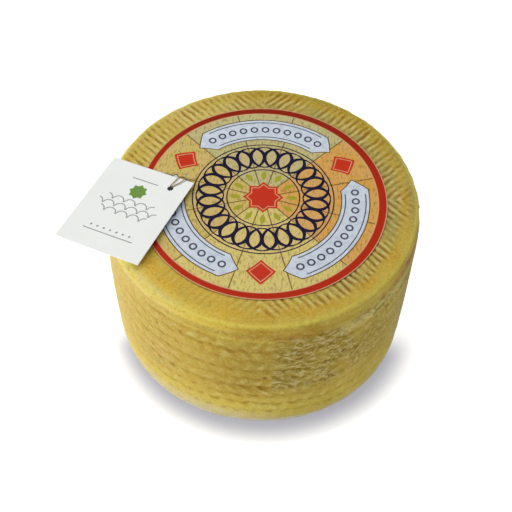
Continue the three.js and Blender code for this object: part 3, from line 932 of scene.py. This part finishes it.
def label_material(settings):
    """Offset-printed label paper: flat inks over a mottled parchment ground, with a slight satin varnish."""
    material, node = new_material("printed_label_paper")
    # Everything on the label is placed in millimetres from its centre
    centred = node("Mapping", {
        "Vector": node("TexCoord").outputs["Object"],
        "Location": (-LABEL_CENTRE.x / MM, -LABEL_CENTRE.y / MM, 0), "Scale": (1 / MM, 1 / MM, 0),
    })
    axes = node("SeparateXYZ", centred)
    x, y = axes.outputs["X"], axes.outputs["Y"]
    radius = node("VectorMath LENGTH", centred)
    angle = node("Math ARCTAN2", y, x)

    # Twelve parchment rays: three of each colour, round from the right
    rays = 12
    inks = (settings.orange, settings.lime, settings.tan, settings.yellow)
    turned = node("Math MULTIPLY_ADD", angle, rays / TURN, 1.5 + rays)
    ramp = node("ValToRGB", node("Math FRACT", node("Math DIVIDE", turned, rays)))
    ramp.color_ramp.interpolation = "CONSTANT"
    stops = ramp.color_ramp.elements
    for quarter, ink in enumerate(inks):
        stop = stops[quarter] if quarter < len(stops) else stops.new(1)
        stop.position = quarter / len(inks)
        stop.color = ink
    ray_edge = node("Math MULTIPLY", node("Math PINGPONG", turned, 0.5), radius)

    # The red ring lies a little off the paper's centre, and painted shade darkens it towards the back
    ring_radius, paper_edge = 71.6, 75.9
    from_ring_centre = node("VectorMath DISTANCE", centred, (-0.6, -0.12, 0))
    ring = node("Math GREATER_THAN", from_ring_centre, ring_radius)
    painted_ring_shade = node("Math MULTIPLY", ring, node("MapRange", y, 5.0, 70.0))

    # Three grey panels with pointed ends, at the back and to both sides of the front, and three lozenges
    # between them. Both shapes come from the distance along their circle and the distance off it, added up.
    panel_circle = 57
    panel_x, panel_y = ring_of_places(node, angle, radius, panel_circle, 3, -TURN / 4)
    lozenge_x, _ = ring_of_places(node, angle, radius, panel_circle, 3, TURN / 4)
    depth = node("Math ABSOLUTE", panel_y)
    panel_reach = node("Math ADD", node("Math ABSOLUTE", panel_x), depth)
    lozenge_reach = node("Math ADD", node("Math ABSOLUTE", lozenge_x), depth)
    panel = {}
    for name, half_length, half_depth in (("border", 46.9, 9.0), ("field", 46.0, 8.3), ("inner", 41.0, 7.0)):
        short = node("Math LESS_THAN", panel_reach, half_length)
        panel[name] = node("Math MULTIPLY", short, node("Math LESS_THAN", depth, half_depth))
    # In each panel two rules and a row of small rings, and darker clouds in its silver
    rules = node("Math COMPARE", depth, 6.3, 0.35)
    beads = node("Math COMPARE", from_row(node, panel_x, 7.2, panel_y), 2.0, 0.55)
    panel_print = node("Math MULTIPLY", node("Math MAXIMUM", rules, beads), panel["inner"])
    foil = node("TexNoise", {"Vector": centred, "Scale": 1 / 4.0, "Detail": 3.0})
    clouds = node("Math MULTIPLY", node("MapRange", foil, 0.42, 0.66), panel["field"])

    # A band of interlaced rings between two rules, their strokes heavier at the sides
    band_circle, band_half_width, ring_count, ring_size = 33, 10.6, 12, 8.4
    band_depth = node("Math ABSOLUTE", node("Math SUBTRACT", radius, band_circle))
    band_print = node("Math COMPARE", band_depth, band_half_width, 0.4)
    for turn in (0, TURN / ring_count / 2):
        across, off = ring_of_places(node, angle, radius, band_circle, ring_count, turn)
        spread = node("VectorMath LENGTH", node("CombineXYZ", across, off))
        weight = node("Math MULTIPLY_ADD", node("Math ABSOLUTE", across), 0.09, 0.35)
        band_print = node("Math MAXIMUM", band_print, node("Math COMPARE", spread, ring_size, weight))

    # Leaves round an eight-pointed star in the middle
    leaf_circle, leaf_count, leaf_half_width, leaf_half_length = 17.4, 12, 1.7, 3.7
    leaf_x, leaf_y = ring_of_places(node, angle, radius, leaf_circle, leaf_count)
    leaf_x = node("Math DIVIDE", node("Math ABSOLUTE", leaf_x), leaf_half_width)
    leaf_y = node("Math DIVIDE", leaf_y, leaf_half_length)
    leaf = node("Math MULTIPLY_ADD", leaf_y, leaf_y, leaf_x)
    star = eight_points(node, node("Math ABSOLUTE", x), node("Math ABSOLUTE", y))

    # The ground's mottling: its ink, how wide its patches are and how they are stretched, where the noise
    # starts to show and shows fully, and its strength. The print follows, from the lowest ink to the highest.
    layers = []
    for ink, width, stretch, start, full, strength in (
        ("paper", 9.0, (1, 1, 1), 0.4, 0.7, 0.3),
        ("line", 1.3, (1, 0.35, 1), 0.5, 0.7, 0.58),
        ("silver", 1.2, (0.4, 1, 1), 0.52, 0.75, 0.15),
        ("leaf", 1.0, (1, 1, 1), 0.55, 0.72, 0.42),
    ):
        stretched = node("Mapping", {"Vector": centred, "Scale": stretch})
        noise = node("TexNoise", {"Vector": stretched, "Scale": 1 / width, "Detail": 4.0})
        layers.append((node("MapRange", noise, start, full), strength, ink))
    layers += [
        (node("Math LESS_THAN", ray_edge, 0.4 * rays / TURN), 0.8, "line"),
        (node("Math LESS_THAN", band_depth, band_half_width), 0.18, "paper"),
        (band_print, 1.0, "navy"),
        (node("Math LESS_THAN", leaf, 1), 0.9, "leaf"),
        (node("Math LESS_THAN", star, 12.4), 1.0, "scarlet"),
        (node("Math COMPARE", star, 10.3, 0.4), 0.8, "paper"),
        (panel["border"], 1.0, "line"),
        (panel["field"], 1.0, "silver"),
        (clouds, 0.35, "cloud"),
        (panel_print, 0.9, "navy"),
        (node("Math LESS_THAN", lozenge_reach, 9.0), 1.0, "scarlet"),
        (node("Math COMPARE", lozenge_reach, 6.9, 0.4), 0.8, "paper"),
        (ring, 1.0, "red"),
        (painted_ring_shade, 0.5, "ring_shade_ink"),
        (node("Math COMPARE", from_ring_centre, ring_radius - 0.1, 0.5), 0.6, "paper"),
        (node("Math GREATER_THAN", radius, paper_edge), 0.8, "paper"),
    ]
    fibre = node("TexNoise", {"Vector": centred, "Scale": 3.0, "Detail": 2.0})
    sheen = node("TexNoise", {"Vector": centred, "Scale": 0.3, "Detail": 3.0})
    return surfaced(material, node, {
        "Base Color": inked(node, settings, ramp, layers), "IOR": 1.5, "Specular IOR Level": 0.1,
        "Roughness": node("Math MULTIPLY_ADD", sheen, 0.2, 0.38),
        "Normal": node("Bump", {"Strength": 0.25, "Distance": 0.05 * MM, "Height": fibre}),
    })


def card_material(settings):
    """Smooth white card with thin flat print: a soft matt sheen and no visible grain."""
    material, node = new_material("smooth_white_card")
    # Everything on the card is placed in millimetres in the tag's own frame
    back = TAG_PLACE.inverted()
    flat = node("Mapping", {
        "Vector": node("TexCoord").outputs["Object"], "Location": back.to_translation() / MM,
        "Rotation": back.to_euler(), "Scale": (1 / MM, 1 / MM, 1 / MM),
    })
    axes = node("SeparateXYZ", flat)
    x, y = axes.outputs["X"], axes.outputs["Y"]
    wide = node("Math ABSOLUTE", x)

    # Three rows of arches across the middle, each half an arch on from the last, then a rule with a row of
    # beads above it near the foot, and a plain rule near the head: the height and half width of each
    arch_pitch, arch_size, stroke_width = 8.0, 3.7, 0.36
    bead_pitch, bead_size, bead_height, beads_half_width = 4.4, 0.75, -18.5, 15.4
    printed = []
    for row, (level, half_width) in enumerate(((4, 16), (-1, 20), (-6, 16))):
        arch_y = node("Math SUBTRACT", y, level)
        spread = from_row(node, node("Math ADD", x, row * arch_pitch / 2), arch_pitch, arch_y)
        stroke = node("Math COMPARE", spread, arch_size, stroke_width)
        printed.append((node("Math MULTIPLY", stroke, node("Math GREATER_THAN", arch_y, 0)), half_width))
    for level, half_width in ((-22, 17), (24.5, 9)):
        printed.append((node("Math COMPARE", y, level, stroke_width), half_width))
    bead = from_row(node, x, bead_pitch, node("Math SUBTRACT", y, bead_height))
    printed.append((node("Math LESS_THAN", bead, bead_size), beads_half_width))
    grey_print = 0
    for mark, half_width in printed:
        mark = node("Math MULTIPLY", mark, node("Math LESS_THAN", wide, half_width))
        grey_print = node("Math MAXIMUM", mark, grey_print)
    # A small eight-pointed star above the arches
    star_height, star_size = 15, 6.0
    star = eight_points(node, wide, node("Math ABSOLUTE", node("Math SUBTRACT", y, star_height)))
    green_print = node("Math LESS_THAN", star, star_size)

    cloud = node("TexNoise", {"Vector": flat, "Scale": 0.05, "Detail": 2.0})
    layers = ((cloud, 0.08, "grey"), (grey_print, 0.8, "grey"), (green_print, 1.0, "green"))
    fibre = node("TexNoise", {"Vector": flat, "Scale": 2.5, "Detail": 2.0})
    return surfaced(material, node, {
        "Base Color": inked(node, settings, settings.card, layers), "Roughness": 0.55, "IOR": 1.5,
        "Normal": node("Bump", {"Strength": 0.15, "Distance": 0.05 * MM, "Height": fibre}),
    })


def cotton_material(settings):
    """Twisted undyed cotton thread: a matt fibre surface with darker and lighter lengths."""
    material, node = new_material("twisted_cotton_thread")
    place = node("TexCoord").outputs["Object"]
    fibre_width = 0.3 * MM
    fibre = node("TexNoise", {"Vector": place, "Scale": 1 / fibre_width, "Detail": 3.0})
    # Painted shade: darker where it passes through the punched hole
    clean_from, shaded_within = 2.3 * MM, 1.4 * MM
    away = node("VectorMath DISTANCE", place, TAG_PLACE @ TAG_HOLE.to_3d())
    in_hole = node("MapRange", away, clean_from, shaded_within)
    layers = ((fibre, 0.6, "hollow"), (in_hole, 0.85, "hole_shade_ink"))
    return surfaced(material, node, {
        "Base Color": inked(node, settings, settings.cotton, layers), "Roughness": 0.75, "Sheen Weight": 0.2,
        "Normal": node("Bump", {"Strength": 0.5, "Distance": 0.05 * MM, "Height": fibre}),
    })


def floor_material(settings):
    """White acrylic sheet lit from below, as on a product table: pure white but for a soft painted shadow of
    the wheel.

    The shadow is painted by place on the sheet, as a thin crescent in front of the wheel, away from the
    overhead light.
    """
    material, node = new_material("white_acrylic_sheet")
    # The painted shadow: an ellipse a little in front of the wheel's middle, and how far forward it starts
    shift, squeeze = (-2 * MM, 12.5 * MM, 0), (0.94, 1, 1)
    shade_end, full_shade = 105.5 * MM, 84 * MM
    shade_start, full_front = -17 * MM, -46 * MM
    place = node("TexCoord").outputs["Object"]
    away = node("VectorMath LENGTH", node("Mapping", {"Vector": place, "Location": shift, "Scale": squeeze}))
    near = node("MapRange", away, shade_end, full_shade, interpolation_type="SMOOTHSTEP")
    y = node("SeparateXYZ", place).outputs["Y"]
    front = node("MapRange", y, shade_start, full_front, interpolation_type="SMOOTHSTEP")
    shade = node("Math MULTIPLY", near, front)
    return surfaced(material, node, {
        "Base Color": inked(node, settings, settings.sheet, ((shade, 1, "sheet_shade"),)),
        "Emission Color": inked(node, settings, settings.glow, ((shade, 1, "glow_shade"),)),
        "Emission Strength": settings.floor_glow, "Roughness": 0.7, "IOR": 1.45, "Specular IOR Level": 0.2,
    })


# Operators

class CHEESE_OT_wheel(bpy.types.Operator):
    """Turn the wheel, press the mould's relief into it and give it its rind"""

    bl_idname = "cheese.wheel"
    bl_label = "Cheese Wheel"

    def execute(self, context):
        settings = context.scene.cheese_rind
        piece = new_piece("rind_wheel", turned_wheel(), "rind", "cheese_wheel")
        press_rind(piece.data, settings)
        shade_smooth(piece.data)
        piece.data.materials.append(rind_material(settings))
        return {"FINISHED"}


class CHEESE_OT_label(bpy.types.Operator):
    """Lay the printed paper label on the top face"""

    bl_idname = "cheese.label"
    bl_label = "Paper Label"

    def execute(self, context):
        settings = context.scene.cheese_label
        piece = new_piece("printed_label", label_disc(settings), "label_paper", "paper_label")
        settle_label(piece.data)
        piece.data.materials.append(label_material(settings))
        return {"FINISHED"}


class CHEESE_OT_tag(bpy.types.Operator):
    """Cut, punch and curl the hang tag"""

    bl_idname = "cheese.tag"
    bl_label = "Hang Tag"

    def execute(self, context):
        settings = context.scene.cheese_tag
        piece = new_piece("card_tag", tag_card(settings), "tag_card", "hang_tag")
        curl_card(piece.data, settings)
        piece.data.materials.append(card_material(settings))
        return {"FINISHED"}


class CHEESE_OT_thread(bpy.types.Operator):
    bl_idname = "cheese.thread"
    bl_label = "Thread and Knot"

    def execute(self, context):
        settings = context.scene.cheese_thread
        line, marks = thread_line(0.2 * MM)
        thread = new_piece("twisted_thread", plied_tube(line, marks, settings), "thread", "tag_thread")
        knot = new_piece("tied_knot", overhand_knot(settings), "thread", "thread_knot")
        cotton = cotton_material(settings)
        for piece in (thread, knot):
            shade_smooth(piece.data)
            piece.data.materials.append(cotton)
        return {"FINISHED"}


class CHEESE_OT_stage(bpy.types.Operator):
    """Make the camera, the soft studio lights and the white floor"""

    bl_idname = "cheese.stage"
    bl_label = "Stage"

    def execute(self, context):
        settings = context.scene.cheese_stage
        make_camera(settings)
        make_floor(settings)
        make_lights(settings)
        return {"FINISHED"}


def make_camera(settings):
    """The photograph's viewpoint, with the wheel a little off the picture's middle as there."""
    data = bpy.data.cameras.new("camera")
    data.lens = settings.lens
    data.sensor_width = 36
    data.shift_x = -0.0095
    data.shift_y = -0.00943
    data.clip_end = 100
    back = Vector((0, -math.cos(settings.elevation), math.sin(settings.elevation)))
    right = Vector((1, 0, 0))
    turn = Matrix((right, back.cross(right), back)).transposed().to_4x4()
    place = Matrix.Translation(Vector((0, 0, settings.aim_height)) + back * settings.distance)
    camera = shown("camera", data)
    camera.matrix_world = place @ turn @ Matrix.Rotation(settings.roll, 4, "Z")
    bpy.context.scene.camera = camera


def make_floor(settings):
    bm = bmesh.new()
    bmesh.ops.create_grid(bm, x_segments=4, y_segments=4, size=settings.floor_size / 2)
    floor = shown("floor", mesh_of("floor", bm))
    floor.data.materials.append(floor_material(settings))


def make_lights(settings):
    """A large soft light at the left, a larger one overhead at the back, and a pale even surround."""
    target = Vector((0, 0, WHEEL_HIGH.z / 2))
    for name, place, size, watts, colour in (
        ("key_light", (-1.1, -0.4, 0.85), 0.7, settings.key_power, "#fffaf0"),
        ("back_light", (-0.1, 0.35, 1.35), 1.1, settings.back_power, "#f8faff"),
    ):
        data = bpy.data.lights.new(name, "AREA")
        data.shape = "SQUARE"
        data.size = size
        data.energy = watts
        data.color = linear(colour)[:3]
        light = shown(name, data)
        light.location = place
        light.rotation_euler = (Vector(place) - target).to_track_quat("Z", "Y").to_euler()
    world = bpy.data.worlds.new("surround")
    world.use_nodes = True
    background = world.node_tree.nodes["Background"]
    background.inputs["Color"].default_value = linear("#fdfeff")
    background.inputs["Strength"].default_value = settings.surround
    bpy.context.scene.world = world
    bpy.context.scene.view_settings.view_transform = "Standard"


class CHEESE_PT_sidebar(bpy.types.Panel):
    """The sizes, the colours and the building steps of the cheese"""

    bl_idname = "CHEESE_PT_sidebar"
    bl_label = "Aged Sheep Cheese"
    bl_space_type = "VIEW_3D"
    bl_region_type = "UI"
    bl_category = "Cheese"

    def draw(self, context):
        for operator, settings_name in STEPS:
            box = self.layout.box()
            box.operator(operator.bl_idname)
            settings = getattr(context.scene, settings_name)
            for name in settings.bl_rna.properties.keys():
                if name not in ("rna_type", "name"):
                    box.prop(settings, name)


STEPS = (
    (CHEESE_OT_stage, "cheese_stage"),
    (CHEESE_OT_thread, "cheese_thread"),
    (CHEESE_OT_wheel, "cheese_rind"),
    (CHEESE_OT_label, "cheese_label"),
    (CHEESE_OT_tag, "cheese_tag"),
)


def register():
    for settings_name, settings in SETTINGS.items():
        bpy.utils.register_class(settings)
        setattr(bpy.types.Scene, settings_name, PointerProperty(type=settings))
    for operator, _ in STEPS:
        bpy.utils.register_class(operator)
    bpy.utils.register_class(CHEESE_PT_sidebar)


def unregister():
    bpy.utils.unregister_class(CHEESE_PT_sidebar)
    for operator, _ in reversed(STEPS):
        bpy.utils.unregister_class(operator)
    for settings_name, settings in reversed(SETTINGS.items()):
        delattr(bpy.types.Scene, settings_name)
        bpy.utils.unregister_class(settings)


def main():
    register()
    bpy.ops.cheese.stage()
    bpy.ops.cheese.thread()
    bpy.ops.cheese.wheel()
    bpy.ops.cheese.label()
    bpy.ops.cheese.tag()


if __name__ == "__main__":
    main()
